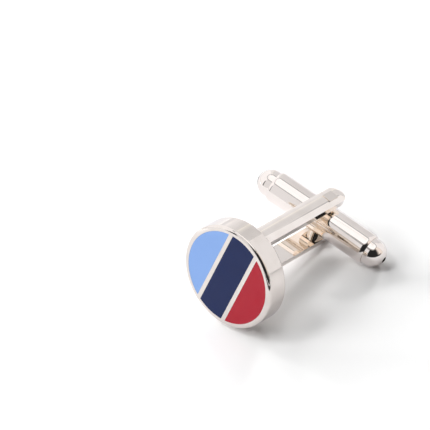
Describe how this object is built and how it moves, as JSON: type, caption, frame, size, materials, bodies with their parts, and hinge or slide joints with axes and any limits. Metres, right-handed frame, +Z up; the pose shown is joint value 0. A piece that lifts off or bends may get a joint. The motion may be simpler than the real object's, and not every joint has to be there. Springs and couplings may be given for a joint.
{
  "type": "cufflink",
  "caption": "Round cufflink with a flat enamel-striped metal head on two parallel arms and a swivelling bullet-shaped bar pivoted between the arm ends.",
  "frame": {"origin": "on the floor below the middle of the bounding box, with the cufflink lying on its side", "axes": "+Y from the head to the bullet in plan, +X to the right as seen from the front of the head, +Z up"},
  "size_m": [0.0222, 0.0272, 0.0163],
  "materials": {
    "head_plate": "nickel-plated brass, mirror polished",
    "light_blue_enamel": "hard enamel ground flat and polished",
    "navy_enamel": "hard enamel ground flat and polished",
    "red_enamel": "hard enamel ground flat and polished",
    "solder": "plated over silver solder",
    "back_metal": "nickel-plated brass, mirror polished",
    "pivot_metal": "nickel-plated, ground flush",
    "cap_metal": "nickel-plated brass, turned and polished",
    "spring_steel": "hardened strip, as rolled"
  },
  "bodies": {
    "frame": {"head_body": "head_plate", "enamel_light_blue": "light_blue_enamel", "enamel_navy": "navy_enamel", "enamel_red": "red_enamel", "solder_joint": "solder", "arm_bracket": "back_metal", "pivot_post": "pivot_metal"},
    "bullet": {"bullet_tube": "back_metal", "near_end_cap": "cap_metal", "far_end_cap": "cap_metal", "front_leaf_spring": "spring_steel", "rear_leaf_spring": "spring_steel"}
  },
  "joints": [
    {"name": "bullet_swivel", "type": "hinge", "parent": "frame", "child": "bullet", "pos_m": [0, 0.01011, 0.00458], "axis": [0.2465, 0.1748, 0.9532], "continuous": true, "deforming": ["front_leaf_spring", "rear_leaf_spring"]}
  ]
}
